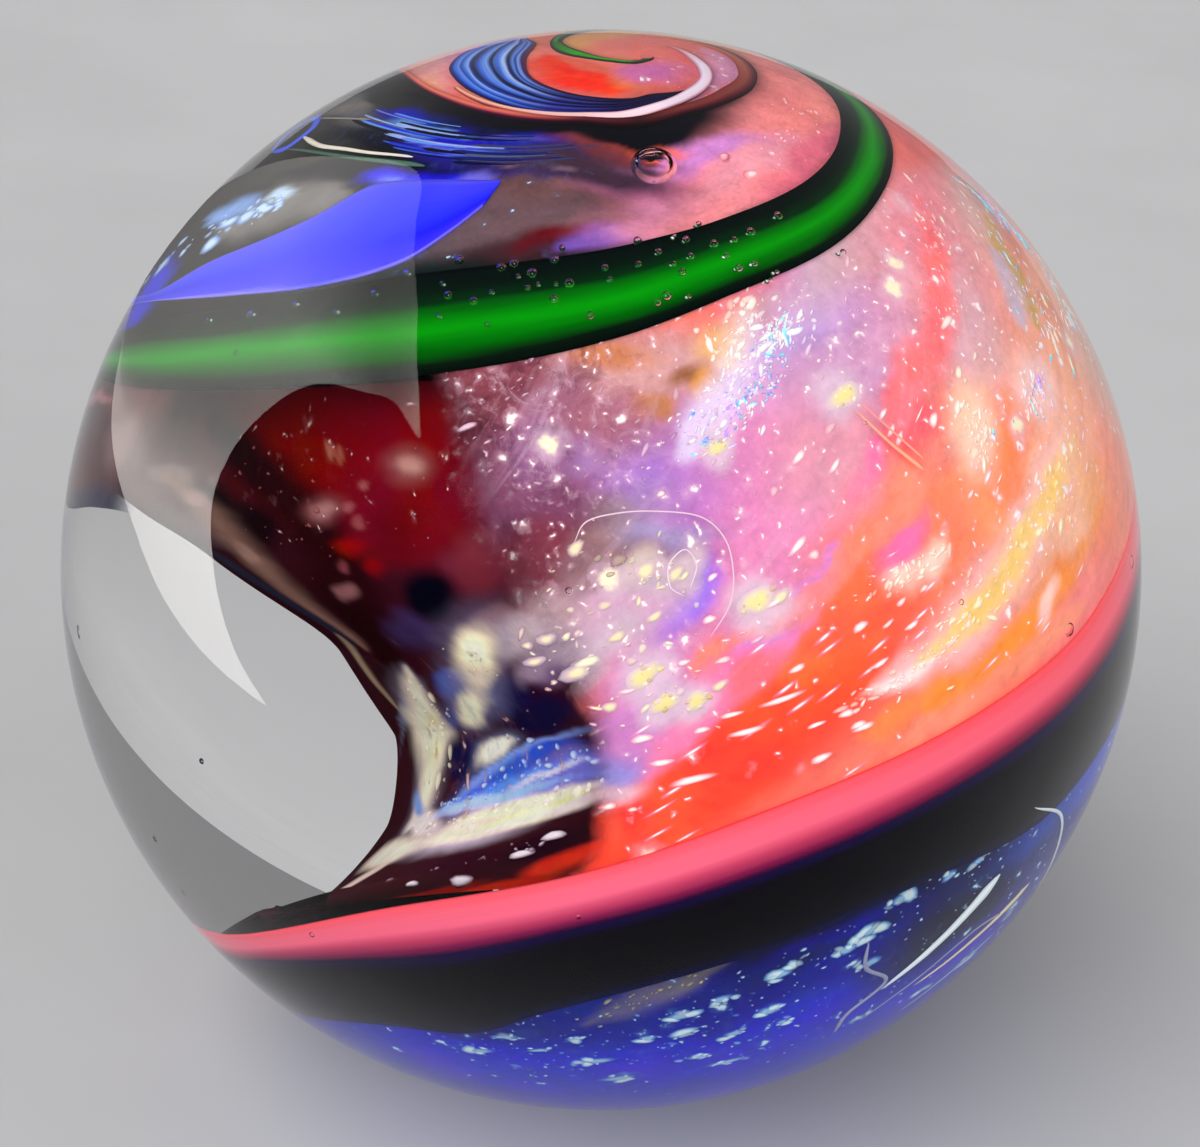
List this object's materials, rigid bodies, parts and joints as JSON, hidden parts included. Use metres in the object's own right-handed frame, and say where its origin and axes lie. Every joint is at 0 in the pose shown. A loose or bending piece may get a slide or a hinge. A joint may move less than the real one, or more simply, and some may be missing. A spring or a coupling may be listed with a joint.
{
  "type": "glass marble",
  "caption": "Solid art-glass marble: a clear glass ball with twisted bands of coloured glass fused inside it.",
  "frame": {"origin": "centre of the ball", "axes": "+Z along the axis that the colours are twisted round, towards the spiral that shows on top; -Y towards the front, the side the picture looks at"},
  "size_m": [0.045, 0.045, 0.045],
  "materials": {
    "glass": "polished clear borosilicate glass",
    "ember_glass": "coral and orange opal glass",
    "ruby_glass": "dark ruby glass",
    "black_glass": "black glass",
    "green_glass": "deep green glass cane",
    "cobalt_glass": "cobalt blue glass",
    "opal_glass": "cream and white opal glass",
    "dichroic_flake": "iridescent foil flake"
  },
  "bodies": {
    "root": {"marble": "glass"}
  },
  "joints": []
}
